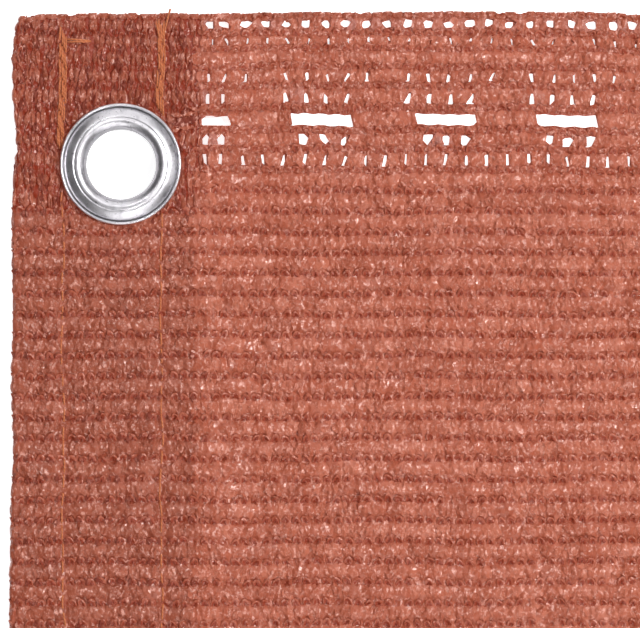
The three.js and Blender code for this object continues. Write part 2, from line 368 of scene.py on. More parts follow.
def tape_colour(tree, knit, darker):
    """Tone from piece to piece with painted shade on the lowest tones, streaks along it, pale patches of
    whitish film and painted sheen, painted glints, a paler half clear tint that is partly painted light, and
    painted shade where it dips
    """
    ramp = add_node(tree, "ShaderNodeValToRGB")
    stops = ramp.color_ramp.elements
    # The lowest tones, from 0 to 0.15, are painted shade: the pocket's shadow, the hem's slits and recesses,
    # and the shadow beside the flap's edge
    stops[0].color = shaded(knit.dark, 0.6)
    stops[1].color = shaded(knit.light, 1 - darker)
    stops.new(0.15).color = shaded(knit.body, 0.86 - darker)
    stops.new(0.55).color = shaded(knit.body, 1 - darker)
    tree.links.new(attribute(tree, "tone"), ramp.inputs["Fac"])
    streaks = spread(tree, stretched_noise(tree, (1600, 900, 1600), 4.0), 0.42, 0.7, 0.0, 0.4)
    streaked = mix_colour(tree, streaks, ramp.outputs["Color"], shaded(knit.body, 0.62 - darker))
    # Pale patches: partly whitish film on the tape, partly painted sheen
    pale = spread(tree, stretched_noise(tree, (700, 500, 700), 3.0), 0.52, 0.72, 0.0, 0.3)
    paled_and_sheened = mix_colour(tree, pale, streaked, PALE_FILM_AND_SHEEN)
    # Painted glints: small pale flecks in the colour that stand in for highlights
    painted_glints = spread(tree, stretched_noise(tree, (1500, 1000, 1500), 2.0), 0.575, 0.69, 0.0, 0.8)
    glinted = mix_colour(tree, painted_glints, paled_and_sheened, PAINTED_GLINT)
    # Half clear tapes: partly their own paler colour, partly painted light of the floor seen through them
    thin = mix_colour(tree, attribute(tree, "sheer"), glinted, SHEER_TAPE)
    # Painted shade: the knit's dark colour mixed in as far as each piece carries it
    return mix_colour(tree, attribute(tree, "painted_shade"), thin, tuple(knit.dark))


def tape_gloss(tree):
    """Roughness of the tape, dull on the darkest pieces, the ones painted as shade"""
    gloss = spread(tree, stretched_noise(tree, (1500, 700, 1500), 2.0), 0.3, 0.7, 0.17, 0.3)
    dull = spread(tree, attribute(tree, "tone"), 0.02, 0.14, 0.5, 0.0)
    return wired(tree, "ShaderNodeMath", {0: gloss, 1: dull}, operation="ADD", use_clamp=True)


def tape_creases(tree):
    """Height of the fine creases: small facets and folds"""
    inputs = {"Vector": stretched_place(tree, (1150, 850, 1150)), "Scale": 1.0, "Randomness": 1.0}
    facets = wired(tree, "ShaderNodeTexVoronoi", inputs, "Distance", feature="F1")
    folds = stretched_noise(tree, (1100, 850, 1100), 3.0)
    return wired(tree, "ShaderNodeMath", {0: folds, 1: 1.3, 2: facets}, operation="MULTIPLY_ADD")


def tape_material(name, knit, darker=0.0):
    """Glossy flat tape"""
    material, tree, shader = new_material(name)
    patches = spread(tree, stretched_noise(tree, (330, 330, 330), 1.0), 0.38, 0.62, 0.35, 1.0)
    connect(tree, shader, {
        "Base Color": tape_colour(tree, knit, darker),
        "Roughness": tape_gloss(tree),
        "Specular Tint": TAPE_SHINE,
        # Painted glow: faint red emission standing in for light coming through the thin tape
        "Emission Color": TAPE_GLOW,
        "Emission Strength": knit.glow,
        "Normal": bumped(tree, tape_creases(tree), patches, 0.5 * MM),
    })
    return material


def thread_material(name, sewing):
    """Twisted synthetic thread"""
    material, tree, shader = new_material(name)
    inputs = {"Vector": own_place(tree), "Scale": 900.0, "Distortion": 2.0}
    twist = wired(tree, "ShaderNodeTexWave", inputs, "Fac", wave_type="BANDS", bands_direction="DIAGONAL")
    fibres = spread(tree, stretched_noise(tree, (5000, 1500, 5000), 3.0), 0.3, 0.7, 0.0, 0.6)
    colour = mix_colour(tree, fibres, tuple(sewing.colour), THREAD_SHADE)
    connect(tree, shader, {
        "Base Color": mix_colour(tree, spread(tree, twist, 0.3, 1.0, 0.0, 0.35), colour, THREAD_LIGHT),
        "Roughness": spread(tree, fibres, 0.0, 0.6, 0.42, 0.62),
        "Sheen Weight": 0.3,
        "Normal": bumped(tree, twist, 0.5, 0.08 * MM),
    })
    return material


def from_axis(tree):
    """Distance from the eyelet's axis, in metres"""
    middle = (*(RING_MIDDLE * MM).tolist(), 0.0)
    centred = wired(tree, "ShaderNodeVectorMath", {0: own_place(tree), 1: middle}, operation="SUBTRACT")
    flat = wired(tree, "ShaderNodeVectorMath", {0: centred, 1: (1, 1, 0)}, operation="MULTIPLY")
    return wired(tree, "ShaderNodeVectorMath", {0: flat}, "Value", operation="LENGTH")


def metal_material(name, eyelet):
    """Plated steel: bright, faintly marked and pitted, with painted shade in its grooves and inside the bore
    """
    material, tree, shader = new_material(name)
    marks = stretched_noise(tree, (900, 900, 900), 5.0)
    colour = mix_colour(tree, spread(tree, marks, 0.5, 0.7, 0.0, 0.4), tuple(eyelet.colour), METAL_MARK)
    # Painted shade: darker inside the bore and in thin rings on the grooves
    painted_shade_rings = add_node(tree, "ShaderNodeValToRGB")
    stops = painted_shade_rings.color_ramp.elements
    stops[0].color = BORE_SHADE
    stops[1].position, stops[1].color = 0.08, WHITE
    for ring in PAINTED_SHADE_RINGS:
        stops.new((ring["radius"] - BORE) / RINGS_REACH).color = (*[ring["stays"]] * 3, 1)
    reach = spread(tree, from_axis(tree), BORE * MM, (BORE + RINGS_REACH) * MM)
    tree.links.new(reach, painted_shade_rings.inputs["Fac"])
    pits = spread(tree, stretched_noise(tree, (2300, 2300, 2300), 2.0), 0.64, 0.7, 0.0, 0.5)
    pitted = mix_colour(tree, pits, colour, METAL_PIT)
    connect(tree, shader, {
        "Base Color": mix_colour(tree, 1.0, pitted, painted_shade_rings.outputs["Color"], "MULTIPLY"),
        "Roughness": spread(tree, stretched_noise(tree, (420, 420, 420), 3.0), 0.3, 0.7, 0.3, 0.42),
        "Metallic": 1.0,
        "Normal": bumped(tree, marks, 0.06, 0.03 * MM),
    })
    return material


# Meshes

def corner_points(mesh):
    """The point at every corner of the mesh's faces"""
    corners = np.zeros(len(mesh.loops), np.int32)
    mesh.loops.foreach_get("vertex_index", corners)
    return corners


def keep_values(mesh, name, values):
    """Keeps one number a point as an attribute"""
    kept = mesh.attributes.new(name, "FLOAT", "POINT")
    kept.data.foreach_set("value", np.ravel(values).astype(np.float32))


def finished(name, mesh):
    """A smooth piece at the origin, riding on the only body"""
    mesh.polygons.foreach_set("use_smooth", np.ones(len(mesh.polygons), bool))
    mesh.update()
    piece = bpy.data.objects.new(name, mesh)
    bpy.context.scene.collection.objects.link(piece)
    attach(piece, "root")
    return piece


def grid_faces(rows, columns):
    """Faces of a sheet of points listed row by row, each row left to right, going down: they face up"""
    first = np.arange(rows - 1)[:, None] * columns + np.arange(columns - 1)[None, :]
    first = first.ravel()
    return np.column_stack([first + columns, first + columns + 1, first + 1, first])


def strip(name, points, rows, columns, painted_shade):
    """A small sheet as an object that can be laid on points, with its own uv and its painted shade"""
    mesh = bpy.data.meshes.new(name)
    mesh.from_pydata(np.asarray(points).tolist(), [], grid_faces(rows, columns).tolist())
    across, up = np.linspace(0, 1, columns), np.linspace(1, 0, rows)
    place = np.column_stack([np.tile(across, rows), np.repeat(up, columns)])
    mesh.uv_layers.new(name="UVMap").data.foreach_set("uv", place[corner_points(mesh)].ravel())
    keep_values(mesh, "painted_shade", painted_shade)
    return bpy.data.objects.new(name, mesh)


def tape_shape(name, rng, knit):
    """Crumpled tape a unit wide and long: gathered at both ends, puffed and creased between"""
    downs = np.array([0.5, 0.38, 0.3, 0.23, 0.1, -0.06, -0.2, -0.27, -0.36, -0.5])
    columns = 6
    x, y = np.meshgrid(np.linspace(-0.5, 0.5, columns), downs)
    ends = smoothstep(np.abs(y), 0.15, 0.31)
    height = knit.tape_puff / MM * (1 - 0.84 * ends)
    for _ in range(3):
        turns, slant = rng.uniform(0.5, 1.6), rng.uniform(-1.5, 1.5)
        fold = rng.uniform(0.3, 1.0) * knit.crumple / MM
        phase = turns * x + slant * y + rng.uniform(0, 1)
        height = height + fold * np.sin(2 * math.pi * phase) * (1 - 0.5 * ends)
    height = height - 0.15 * np.abs(2 * x) ** 2.5
    gathered = x * (1 - rng.uniform(0.72, 0.8) * ends) + 0.04 * np.sin(4 * y + rng.uniform(0, 6))
    # Painted shade on the tape's ends, where they dip under the chain loops
    painted_shade = 0.1 * smoothstep(np.abs(y), 0.25, 0.4)
    points = np.column_stack([gathered.ravel(), y.ravel(), height.ravel()])
    return strip(name, points, len(downs), columns, painted_shade)


def loop_shape(name, rng, knit):
    """One loop of the chain: an arch of narrow rolled tape, its feet tucked under, a recess inside painted
    dark as shade
    """
    stations = 9
    share = np.linspace(0, 1, stations)
    arch = np.sin(math.pi * share)
    lean = rng.normal(0.0, 0.38)
    b = -0.6 + rng.uniform(1.0, 1.2) * arch ** 0.75
    a = -rng.uniform(0.46, 0.68) * np.cos(math.pi * share) + lean * (b + 0.1)
    h = rng.uniform(0.42, 0.55) * arch ** 0.5
    slope = np.column_stack([np.gradient(a), np.gradient(b)])
    slope /= np.linalg.norm(slope, axis=1)[:, None]
    width = knit.loop_width / MM * (0.7 + 0.35 * arch) * rng.uniform(0.75, 1.2)
    lines = []
    for column in (-0.5, 0.0, 0.5):
        roll = -0.14 * (2 * column) ** 2
        across, up = a - slope[:, 1] * column * width, b + slope[:, 0] * column * width
        lines.append(np.column_stack([across, up, h + roll]))
    lines.append(np.column_stack([0.2 * a, 0.35 * b - 0.15, 0.12 + 0 * a]))
    if lines[0][stations // 2, 1] < lines[2][stations // 2, 1]:
        lines[0], lines[2] = lines[2], lines[0]
    points = np.stack(lines[::-1], axis=1).reshape(-1, 3)
    # Painted shade: darkest in the recess, strong on the arch's inner edge, more towards the tucked feet
    foot = 0.3 * (1 - arch)
    painted_shade = np.column_stack([0.85 + 0 * arch, 0.5 + foot, 0.1 + 0.4 * foot, 0.4 * foot])
    return strip(name, points, stations, len(lines), painted_shade)


def stitch_shape(name, rng, sewing):
    """One stitch of thread, a unit long down the cloth, its ends going in"""
    stations, sides = 9, 6
    share = np.linspace(-0.5, 0.5, stations)
    radius = sewing.thread / MM / 2
    rise = radius + 0.1 - 0.75 * np.abs(2 * share) ** 4
    sway = rng.uniform(-0.08, 0.08) * np.cos(math.pi * share)
    angles = np.linspace(math.pi, -math.pi, sides + 1)
    points = [
        [sway[i] + radius * math.cos(angle), -share[i], rise[i] + radius * math.sin(angle)]
        for i in range(stations) for angle in angles
    ]
    return strip(name, points, stations, sides + 1, np.zeros((stations, sides + 1)))


# Laying many shapes with Geometry Nodes

POINT_VALUES = {
    "turn": "FLOAT_VECTOR", "size": "FLOAT_VECTOR", "pick": "INT", "tone": "FLOAT", "sheer": "FLOAT",
}
# How far apart the creases of two tones start, and the least height before and after the cloth is laid
CRUMPLE_APART = 173.0
LOWEST_LAID = 0.03
LOWEST_PLACED = 0.02


def laying_tree():
    """Lays one of several shapes on each point, crumples what was laid and gives it a material"""
    tree = bpy.data.node_groups.new("Lay Shapes", "GeometryNodeTree")
    sockets = tree.interface
    sockets.new_socket("Geometry", in_out="INPUT", socket_type="NodeSocketGeometry")
    sockets.new_socket("Shapes", in_out="INPUT", socket_type="NodeSocketCollection")
    for name, default in (("Crumple Height", 0.1), ("Crumple Scale", 1.0), ("Seed", 1.0)):
        sockets.new_socket(name, in_out="INPUT", socket_type="NodeSocketFloat").default_value = default
    sockets.new_socket("Material", in_out="INPUT", socket_type="NodeSocketMaterial")
    sockets.new_socket("Geometry", in_out="OUTPUT", socket_type="NodeSocketGeometry")
    given = add_node(tree, "NodeGroupInput").outputs
    result = add_node(tree, "NodeGroupOutput").inputs

    def value(name):
        kind = POINT_VALUES[name]
        return wired(tree, "GeometryNodeInputNamedAttribute", {"Name": name}, "Attribute", data_type=kind)

    inputs = {"Collection": given["Shapes"], "Separate Children": True, "Reset Children": True}
    shapes = wired(tree, "GeometryNodeCollectionInfo", inputs)
    placed = wired(tree, "GeometryNodeInstanceOnPoints", {
        "Points": given["Geometry"],
        "Instance": shapes,
        "Pick Instance": True,
        "Instance Index": value("pick"),
        "Rotation": wired(tree, "FunctionNodeEulerToRotation", {"Euler": value("turn")}),
        "Scale": value("size"),
    })
    realized = wired(tree, "GeometryNodeRealizeInstances", {"Geometry": placed})

    place = add_node(tree, "GeometryNodeInputPosition").outputs["Position"]
    inputs = {0: value("tone"), 1: CRUMPLE_APART, 2: given["Seed"]}
    start = wired(tree, "ShaderNodeMath", inputs, operation="MULTIPLY_ADD")
    inputs = {"Vector": place, "W": start, "Scale": given["Crumple Scale"], "Detail": 2.0}
    noise = wired(tree, "ShaderNodeTexNoise", inputs, "Color", noise_dimensions="4D")
    centred = wired(tree, "ShaderNodeVectorMath", {0: noise, 1: (0.5, 0.5, 0.5)}, operation="SUBTRACT")
    inputs = {0: centred, "Scale": given["Crumple Height"]}
    offset = wired(tree, "ShaderNodeVectorMath", inputs, operation="SCALE")
    crumpled = wired(tree, "GeometryNodeSetPosition", {"Geometry": realized, "Offset": offset})
    inputs = {"Geometry": crumpled, "Material": given["Material"]}
    tree.links.new(wired(tree, "GeometryNodeSetMaterial", inputs), result["Geometry"])
    return tree


def table_of(rows, ceiling=1.1, clear=False, edged=True):
    """Arrays from rows of place, turn, size, pick, tone and sheer, without what the ring covers"""
    names = ("place", "turn", "size", "pick", "tone", "sheer")
    table = {name: np.array(column) for name, column in zip(names, zip(*rows))}
    keep = from_eyelet(table["place"]) > RIM - UNDER_RING
    kinds = {"place": float, "pick": np.int32}
    table = {name: value[keep].astype(kinds.get(name, np.float32)) for name, value in table.items()}
    return {**table, "ceiling": ceiling, "clear": clear, "edged": edged}


def laid_mesh(name, rows, shapes, material, crumple, seed):
    """A plain mesh of the shapes on a table of points of the flat cloth"""
    points = bpy.data.meshes.new(name + "_points")
    points.from_pydata(rows["place"].tolist(), [], [])
    for value, kind in POINT_VALUES.items():
        field = "vector" if kind == "FLOAT_VECTOR" else "value"
        points.attributes.new(value, kind, "POINT").data.foreach_set(field, rows[value].ravel())
    points.attributes.new("number", "INT", "POINT").data.foreach_set("value", np.arange(len(rows["tone"])))
    holder = bpy.data.objects.new(name + "_points", points)
    bpy.context.scene.collection.objects.link(holder)
    kinds = bpy.data.collections.new(name + "_shapes")
    for shape in shapes:
        kinds.objects.link(shape)
    modifier = holder.modifiers.new("Lay Shapes", "NODES")
    modifier.node_group = bpy.data.node_groups.get("Lay Shapes") or laying_tree()
    settings = {"Shapes": kinds, "Crumple Height": crumple[0], "Crumple Scale": crumple[1], "Seed": seed}
    settings["Material"] = material
    for item in modifier.node_group.interface.items_tree:
        if item.in_out == "INPUT" and item.name in settings:
            modifier[item.identifier] = settings[item.name]
    graph = bpy.context.evaluated_depsgraph_get()
    mesh = bpy.data.meshes.new_from_object(holder.evaluated_get(graph), depsgraph=graph)
    bpy.data.objects.remove(holder)
    bpy.data.meshes.remove(points)
    bpy.data.collections.remove(kinds)
    for shape in shapes:
        bpy.data.objects.remove(shape)
    if len(mesh.vertices) == 0:
        raise RuntimeError(f"{name} came out empty")
    mesh.name = name
    return mesh


def lay(name, rows, shapes, material, crumple, seed):
    """Lays shapes on a table of points of the flat cloth, then folds and lays the cloth in the frame"""
    mesh = laid_mesh(name, rows, shapes, material, crumple, seed)
    number = np.zeros(len(mesh.vertices), np.int32)
    mesh.attributes["number"].data.foreach_get("value", number)
    flat = np.zeros(len(mesh.vertices) * 3, np.float32)
    mesh.vertices.foreach_get("co", flat)
    flat = flat.reshape(-1, 3).astype(float)
    flat[:, 2] = np.clip(flat[:, 2], LOWEST_LAID, rows["ceiling"])
    if rows["edged"]:
        flat[:, 1] = np.minimum(flat[:, 1], -top_edge(flat[:, 0]))
    if rows["clear"]:
        flat = clear_gaps(flat, rows["place"][number, 0])
    placed = clear_eyelet(laid(trim_gaps(flat)))
    placed[:, 2] = np.maximum(placed[:, 2], LOWEST_PLACED * MM)
    mesh.vertices.foreach_set("co", placed.astype(np.float32).ravel())
    pack_uv(mesh, number, len(rows["tone"]))
    for value in ("turn", "size", "pick", "number"):
        mesh.attributes.remove(mesh.attributes[value])
    return finished(name, mesh)


def pack_uv(mesh, number, count):
    """Gives every laid shape a square of its own in one map"""
    side = math.ceil(math.sqrt(count))
    own = np.zeros(len(mesh.loops) * 2, np.float32)
    mesh.attributes["UVMap"].data.foreach_get("vector", own)
    own = own.reshape(-1, 2) * 0.9 + 0.05
    number = number[corner_points(mesh)]
    packed = (own + np.column_stack([number % side, number // side])) / side
    mesh.uv_layers.new(name="OFBake").data.foreach_set("uv", packed.astype(np.float32).ravel())


# Edges and openings of the flat cloth

# Limits of what is laid: under the ring, at the ring's hole, and of the sheet beside that hole
UNDER_RING = 1.9
HOLE_CLEAR = 0.8
SHEET_CLEAR = 1.4
# Gaps: how far the slits and the slots lean, how unevenly they are wide, and how far they may reach
SLIT_LEAN = (0.0, 0.22)
SLOT_LEAN = (-0.14, 0.08)
GAP_UNEVEN = (0.6, 1.25)
GAP_LIMITS = (HEM_WIDTH + 0.6, SCREEN_WIDTH - 1.2)
GAP_WAVE = 0.12
BESIDE_HEM = 0.9
FIRST_SLOT_LOWER = 0.35


def top_edge(u):
    """How far below the cloth's top the uneven edge runs"""
    loops = 0.06 * (1 + np.cos(2 * math.pi * (u - FIRST_BAR) / NEEDLE))
    uneven = 0.09 * (1 + np.sin(0.83 * u + 1.3 * np.sin(0.31 * u)))
    notches = sum(
        notch["depth"] * np.exp(-(((u - notch["at"]) / notch["reach"]) ** 2)) for notch in TOP_NOTCHES
    )
    return loops + uneven + notches - 0.16


class Gap(NamedTuple):
    """An opening of the band: its row, its depths, and its sides above and below"""
    row: int
    top: float
    foot: float
    left: float
    right: float
    left_foot: float
    right_foot: float

    def sides(self, share):
        """Left and right side at a share of the way down"""
        left = self.left + (self.left_foot - self.left) * share
        return left, self.right + (self.right_foot - self.right) * share


def open_gaps():
    """Every gap of the band, each with its own slant"""
    rng = np.random.default_rng(5)
    gaps = []
    for row, facts in enumerate(OPEN_ROWS):
        slot = facts["row"] == "slots"
        for bar in range(int((SCREEN_WIDTH - FIRST_BAR) / BAR_PITCH) + 1):
            if bar % BARS_A_REPEAT not in facts["bars"]:
                continue
            middle = FIRST_BAR + bar * BAR_PITCH + facts["shift"] + rng.normal(0, 0.1)
            middle += BESIDE_HEM if bar == 0 and not slot else 0
            lean = rng.normal(*(SLOT_LEAN if slot else SLIT_LEAN))
            above = facts["top"] / 2 * (1 if slot else rng.uniform(*GAP_UNEVEN))
            below = facts["foot"] / 2 * (1 if slot else rng.uniform(*GAP_UNEVEN))
            short = FIRST_SLOT_LOWER if slot and bar == 0 else 0.0
            top = CHAINS[row] + facts["start"] + rng.uniform(-0.1, 0.15) + short
            foot = CHAINS[row + 1] - facts["end"] + rng.uniform(-0.15, 0.1) - short
            left = max(middle + lean - above, GAP_LIMITS[0])
            right = min(middle + lean + above, GAP_LIMITS[1])
            left_foot = max(middle - lean - below, GAP_LIMITS[0])
            right_foot = min(middle - lean + below, GAP_LIMITS[1])
            if right - left > 0.15 and right_foot - left_foot > 0.1:
                gaps.append(Gap(row, top, foot, left, right, left_foot, right_foot))
    return gaps


def clear_gaps(flat, middles):
    """Moves what reaches into a gap back to the gap's side where the laid piece has its middle"""
    flat = flat.copy()
    for gap in GAPS:
        middle = (gap.left + gap.right) / 2
        share = (-flat[:, 1] - gap.top) / (gap.foot - gap.top)
        low, high = gap.sides(np.clip(share, 0, 1))
        beside = (share > -0.15) & (share < 1.15)
        from_left = beside & (middles < middle) & (flat[:, 0] > low)
        from_right = beside & (middles >= middle) & (flat[:, 0] < high)
        near = np.abs(middles - middle) < (gap.right - gap.left) / 2 + 4.0
        reached = near & (from_left | from_right)
        flat[reached, 0] = np.where(from_left, low, high)[reached]
    return flat


def trim_gaps(flat):
    """Moves what still reaches into a gap up or down to the gap's wavy edge"""
    flat = flat.copy()
    near = np.flatnonzero((flat[:, 1] > -CHAINS[BAND_ROWS]) & (flat[:, 0] > HEM_WIDTH))
    u, depth = flat[near, 0], -flat[near, 1]
    for gap in GAPS:
        low, high = gap.sides(np.clip((depth - gap.top) / (gap.foot - gap.top), 0, 1))
        above = gap.top + GAP_WAVE * np.sin(2.3 * u + 1.7 * gap.row)
        below = gap.foot + GAP_WAVE * np.sin(1.9 * u + 0.9 * gap.row)
        inside = (u > low) & (u < high) & (depth > above) & (depth < below)
        depth[inside] = np.where(depth < (gap.top + gap.foot) / 2, above, below)[inside]
    flat[near, 1] = -depth
    return flat


def in_gaps(middles):
    """Which faces of the sheet lie in a gap, up to just under the tapes beside it"""
    u, depth = middles[:, 0], -middles[:, 1]
    found = np.zeros(len(middles), bool)
    for gap in GAPS:
        low, high = gap.sides(np.clip((depth - gap.top) / (gap.foot - gap.top), 0, 1))
        inside = (u > low - 0.3) & (u < high + 0.3)
        found |= inside & (depth > gap.top + 0.2) & (depth < gap.foot - 0.2)
    return found


def clear_eyelet(points):
    """Opens the cloth round the eyelet's barrel"""
    middle = RING_MIDDLE * MM
    away = points[:, :2] - middle
    distance = np.maximum(np.linalg.norm(away, axis=1), 1e-6)
    bored = (BORE + HOLE_CLEAR) * MM
    inside = distance < bored
    points[inside, :2] = middle + away[inside] / distance[inside, None] * bored
    return points


def from_eyelet(flat):
    """How far the places of the flat cloth come to lie from the eyelet's axis, in millimetres"""
    return np.linalg.norm(laid(np.atleast_2d(flat))[:, :2] / MM - RING_MIDDLE, axis=1)


GAPS = open_gaps()


def solid_spans(row, left, right):
    """Where a row is closed between two places"""
    spans, reached = [], left
    for gap in GAPS:
        if gap.row == row:
            if min(gap.left, gap.left_foot) > reached:
                spans.append((reached, min(max(gap.left, gap.left_foot), right)))
            reached = max(reached, min(gap.right, gap.right_foot))
    if right > reached:
        spans.append((reached, right))
    return [span for span in spans if span[1] - span[0] > 0.3]


def tone_and_painted_shade(u, depth, chance):
    """Tone of a piece: random, with painted shade darkening the hem, most at its top, and darkest here and
    there beside the flap's edge as its painted shadow
    """
    if 0.1 < u - HEM_WIDTH < 1.3 and chance < 0.35:
        return 0.08 + 0.2 * chance
    top = 1 - (u < HEM_WIDTH) * (0.45 - 0.25 * float(smoothstep(depth, 20, 40)))
    return 0.15 + 0.85 * chance * top


# The sheet

def sheet_lines():
    """Depth and puff of the sheet's lines: low on the chains, high between, and a line at each gap's ends"""
    lines = []
    for row in range(ROWS):
        top, foot = CHAINS[row], CHAINS[row + 1]
        start, end, trim = 0.8, 0.7, 0.4
        if row < BAND_ROWS and OPEN_ROWS[row]["bars"]:
            start, end, trim = OPEN_ROWS[row]["start"], OPEN_ROWS[row]["end"], 0.02
        first, last = top + start - trim, foot - end + trim
        lines += [(top if row else 0.5, 0.0), (first, 0.8), ((first + last) / 2, 1.0), (last, 0.8)]
    lines.append((CHAINS[-1] + 0.4, 0.0))
    return np.array(lines).T


class SCREEN_OT_sheet(bpy.types.Operator):
    """The cloth itself, one thin sheet that runs from the cut side round the fold to the hem's end"""
    bl_idname = "screen.sheet"
    bl_label = "Cloth Sheet"

    def execute(self, context):
        knit = context.scene.screen_knit
        rng = np.random.default_rng(knit.seed)
        columns = np.arange(HIDDEN_END, SCREEN_WIDTH - 0.5, BAR_PITCH / 4)
        columns[-1] = SCREEN_WIDTH - 0.4
        depths, puffs = sheet_lines()
        heights = 0.1 + 0.14 * puffs[:, None]
        flat = np.stack(np.broadcast_arrays(columns[None], -depths[:, None], heights), axis=-1)
        flat = flat.reshape(-1, 3)
        flat[:, 2] += 0.4 * np.exp(-((flat[:, 0] / 1.3) ** 2))
        flat = trim_gaps(flat)
        faces = grid_faces(len(depths), len(columns))
        middles = flat[faces].mean(axis=1)
        keep = (from_eyelet(middles) > BORE + SHEET_CLEAR) & ~in_gaps(middles)
        mesh = bpy.data.meshes.new("screen_sheet")
        mesh.from_pydata(clear_eyelet(laid(flat)).tolist(), [], faces[keep].tolist())
        mesh.materials.append(tape_material("tape_behind", knit, 0.08))
        tones = np.repeat(rng.random((len(depths), len(columns) // 2 + 1)), 2, axis=1)[:, :len(columns)]
        keep_values(mesh, "tone", tones)
        # Painted shade on the sheet behind the tapes: strong under the hem's top, and darker on the chain
        # lines than between them
        pressed = (columns[None] < HEM_WIDTH) & (depths[:, None] < CHAINS[HEM_TOP_ROWS])
        keep_values(mesh, "painted_shade", np.where(pressed, 0.9, 0.6 - 0.4 * puffs[:, None]))
        spot = (flat[corner_points(mesh), :2] - (HIDDEN_END, -CLOTH_LENGTH)) / (CUT_WIDTH, CLOTH_LENGTH)
        mesh.uv_layers.new(name="OFBake").data.foreach_set("uv", spot.astype(np.float32).ravel())
        piece = finished("screen_sheet", mesh)
        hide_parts("screen_cloth", "side_hem")
        return {"FINISHED"}


# The tapes

TAPE_KINDS = 16
# Each zone: its rows, its sides, how much darker it is, and how close and how wide its tapes are; the hem's
# zones are darker as painted shade of the doubled cloth
TAPE_ZONES = rows_of(
    "name first last left right darker every slim",
    ("tapes_band", 0, BAND_ROWS, HEM_WIDTH + 0.2, TAPE_END, 0.0, NEEDLE, 1.0),
    ("tapes_upper", BAND_ROWS, 28, HEM_WIDTH, TAPE_END, 0.0, NEEDLE, 1.0),
    ("tapes_lower", 28, ROWS, HEM_WIDTH, TAPE_END, 0.0, NEEDLE, 1.0),
    ("tapes_hem_top", 0, HEM_TOP_ROWS, -0.6, HEM_WIDTH - 0.3, 0.16, 1.06, 0.24),
    ("tapes_hem", HEM_TOP_ROWS, ROWS, -0.6, HEM_WIDTH - 0.6, 0.18, NEEDLE, 0.85),
    ("tapes_turned_in", 0, ROWS, HIDDEN_END + 2.0, -1.6, 0.15, BAR_PITCH, 1.2),
)
# A span between two gaps that holds one thin, half clear tape pair in these rows
NARROW_SPAN = 3.2
SHEER_ROWS = (0, 4, 6)
HEM_SLIT_SHADES = 170
GATHERS_BELOW = 0.85

# The pocket that opens beside the eyelet: shadow first and then strands
POCKET = rows_of(
    "across down high turn wide long tone",
    (29.2, 18.6, 1.0, 1.5, 1.5, 4.6, 0.0),
    (31.0, 18.2, 1.0, 1.72, 1.0, 3.8, 0.0),
    (28.4, 17.4, 1.0, 1.3, 0.7, 2.8, 0.5),
    (30.4, 17.2, 1.0, 1.75, 0.6, 3.2, 0.8),
    (29.8, 19.5, 1.0, 1.45, 0.7, 3.6, 0.7),
    (31.4, 16.4, 0.95, 1.2, 0.6, 2.6, 0.6),
    (28.0, 19.9, 0.95, 1.8, 0.7, 2.6, 0.3),
)


def tape_rows(rng, knit, zone):
    """Tape stretches of a zone's knitted rows, kept out of the rows' gaps"""
    left, right, every, slim = (zone[name] for name in ("left", "right", "every", "slim"))
    rows = []
    for row in range(zone["first"], zone["last"]):
        top, foot = CHAINS[row], CHAINS[row + 1]
        holed = row < BAND_ROWS and bool(OPEN_ROWS[row]["bars"]) and left > 0
        start = FIRST_BAR + math.floor((left - FIRST_BAR) / every) * every
        spans = solid_spans(row, left, right) if holed else [(start, right)]
        for low, high in spans:
            narrow = high - low < NARROW_SPAN
            count = 2 if holed and narrow else max(1, round((high - low) / every))
            step = (high - low) / count if holed else every
            for number in range(count):
                wide = knit.tape_width / MM * slim * rng.uniform(0.85, 1.25) * (step / every) ** 0.6
                if holed:
                    wide = min(wide, (high - low) * rng.uniform(0.85, 1.1))
                middle = low + (number + 0.5) * step + rng.normal(0, 0.16)
                if middle > right + 0.3:
                    continue
                place = (middle, -(top + foot) / 2, 0.26 + 0.06 * rng.random())
                longer = 0.7 if slim > 0.5 else 1.5 * rng.random()
                size = (wide, (foot - top) + longer, rng.uniform(0.75, 1.1))
                lean = rng.normal(0, 0.05 if holed else 0.13)
                sheer = 0.6 * rng.random() ** 2 * (row in SHEER_ROWS and narrow)
                turn = (0, 0, rng.choice([0, math.pi]) + lean)
                tone = tone_and_painted_shade(middle, (top + foot) / 2, rng.random())
                rows.append((place, turn, size, rng.integers(TAPE_KINDS), tone, sheer))
    return rows


def gather_rows(rng):
    """Short tapes bunched on the chain lines of the band"""
    rows = []
    for row in range(BAND_ROWS + 1):
        for bar in np.arange(HEM_WIDTH + 0.9, TAPE_END, NEEDLE):
            u = bar + rng.normal(0, 0.2)
            depth = max(CHAINS[row] + rng.normal(0.0, 0.1), GATHERS_BELOW)
            place = (u, -depth, 0.22 + 0.12 * rng.random())
            wide = rng.uniform(1.9, 2.5)
            long = rng.uniform(1.6, 2.05) * (0.75 if row == 0 else 1.0)
            size = (wide, long, rng.uniform(0.5, 0.8))
            turn = (0, 0, rng.normal(0, 0.3))
            rows.append((place, turn, size, rng.integers(TAPE_KINDS), 0.15 + 0.4 * rng.random(), 0.0))
    return rows


def pocket_rows(rng):
    """Shadow and strands of the pocket beside the eyelet"""
    rows = []
    for strand in POCKET:
        place = (strand["across"], -strand["down"], strand["high"])
        size = (strand["wide"], strand["long"], 0.7)
        rows.append((place, (0, 0, strand["turn"]), size, rng.integers(TAPE_KINDS), strand["tone"], 0.0))
    return rows


